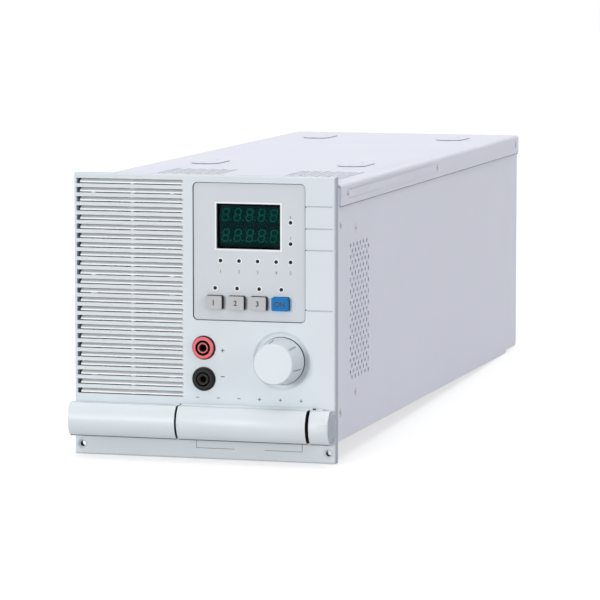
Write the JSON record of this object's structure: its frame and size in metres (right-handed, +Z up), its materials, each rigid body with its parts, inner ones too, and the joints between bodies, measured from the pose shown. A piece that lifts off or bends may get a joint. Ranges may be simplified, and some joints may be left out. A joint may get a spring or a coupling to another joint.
{
  "type": "dc electronic load module",
  "caption": "Plug-in dc electronic load with louvred air inlet, display window, push keys, rotary knob, sense sockets and a hinged cover over its load terminals.",
  "frame": {"origin": "on the floor plane through the lower edge of the front panel, under the middle of the outer box", "axes": "+Z up, +X to the right seen from the front, +Y from the front panel to the back"},
  "size_m": [0.1668, 0.5146, 0.172],
  "materials": {
    "panel_white": "fine moulded texture, bluish white",
    "bar_white": "satin bluish white",
    "plate_grey": "matt light grey film",
    "lens_green": "smoked green, glossy",
    "black_plastic": "black",
    "key_grey": "mid grey",
    "key_blue": "blue",
    "socket_red": "red",
    "lavender_paint": "lavender grey powder coat",
    "dark_paint": "dark grey",
    "zinc": "zinc plated steel",
    "brass": "plain brass",
    "copper": "copper, stored as brass",
    "aluminium": "extruded",
    "board_green": "green solder mask",
    "rubber_black": "black",
    "part_dark": "component sleeves",
    "core_brown": "wound core",
    "shunt_metal": "resistance alloy strip"
  },
  "bodies": {
    "chassis": {"front_panel": "panel_white", "louvre_vanes": "panel_white", "sub_panel": "dark_paint", "panel_screws": "zinc", "control_plate": "plate_grey", "display_lens": "lens_green", "display_modules": "black_plastic", "display_board": "board_green", "standoffs": "zinc", "board_screws": "zinc", "indicator_leds": "black_plastic", "key_switches": "black_plastic", "encoder": "dark_paint", "encoder_nut": "zinc", "socket_red": "socket_red", "socket_black": "black_plastic", "socket_contacts": "brass", "socket_nuts": "zinc", "socket_gaskets": "rubber_black", "handle_grip": "bar_white", "hinge_block": "bar_white", "hinge_pins": "zinc", "terminal_block": "black_plastic", "terminal_tabs": "brass", "terminal_screws": "zinc", "busbar_positive": "copper", "busbar_negative": "copper", "floor_pan": "lavender_paint", "side_left": "lavender_paint", "side_right": "lavender_paint", "top_cover": "lavender_paint", "rear_panel": "lavender_paint", "flat_screws": "zinc", "rear_connector": "black_plastic", "connector_pins": "brass", "fan_frames": "black_plastic", "fan_screws": "zinc", "heat_sink": "aluminium", "power_transistors": "black_plastic", "power_board": "board_green", "capacitors": "part_dark", "shunts": "shunt_metal", "control_board": "board_green", "aux_transformer": "core_brown", "measure_board": "board_green", "board_brackets": "zinc"},
    "key_1": {"key_1_plunger": "black_plastic", "key_1_cap": "key_grey"},
    "key_2": {"key_2_plunger": "black_plastic", "key_2_cap": "key_grey"},
    "key_3": {"key_3_plunger": "black_plastic", "key_3_cap": "key_grey"},
    "key_4": {"key_4_plunger": "black_plastic", "key_4_cap": "key_blue"},
    "knob": {"knob": "bar_white", "encoder_shaft": "zinc"},
    "cover": {"terminal_cover": "bar_white"},
    "fan_1": {"fan_rotor_1": "black_plastic"},
    "fan_2": {"fan_rotor_2": "black_plastic"}
  },
  "joints": [
    {"name": "key_1_press", "type": "slide", "parent": "chassis", "child": "key_1", "axis": [0, 1, 0], "range_m": [0, 0.0012], "stiffness_N_per_m": 1200, "springref_m": -0.0004},
    {"name": "key_2_press", "type": "slide", "parent": "chassis", "child": "key_2", "axis": [0, 1, 0], "range_m": [0, 0.0012], "stiffness_N_per_m": 1200, "springref_m": -0.0004},
    {"name": "key_3_press", "type": "slide", "parent": "chassis", "child": "key_3", "axis": [0, 1, 0], "range_m": [0, 0.0012], "stiffness_N_per_m": 1200, "springref_m": -0.0004},
    {"name": "key_4_press", "type": "slide", "parent": "chassis", "child": "key_4", "axis": [0, 1, 0], "range_m": [0, 0.0012], "stiffness_N_per_m": 1200, "springref_m": -0.0004},
    {"name": "knob_turn", "type": "hinge", "parent": "chassis", "child": "knob", "pos_m": [0.04855, -0.23925, 0.0611], "axis": [0, 1, 0], "continuous": true},
    {"name": "cover_open", "type": "hinge", "parent": "chassis", "child": "cover", "pos_m": [0.02745, -0.24245, 0.032], "axis": [-1, 0, 0], "range_deg": [0, 90]},
    {"name": "fan_1_spin", "type": "hinge", "parent": "chassis", "child": "fan_1", "pos_m": [-0.04685, -0.21925, 0.07275], "axis": [0, 1, 0], "continuous": true},
    {"name": "fan_2_spin", "type": "hinge", "parent": "chassis", "child": "fan_2", "pos_m": [-0.04685, -0.21925, 0.13325], "axis": [0, 1, 0], "continuous": true}
  ]
}
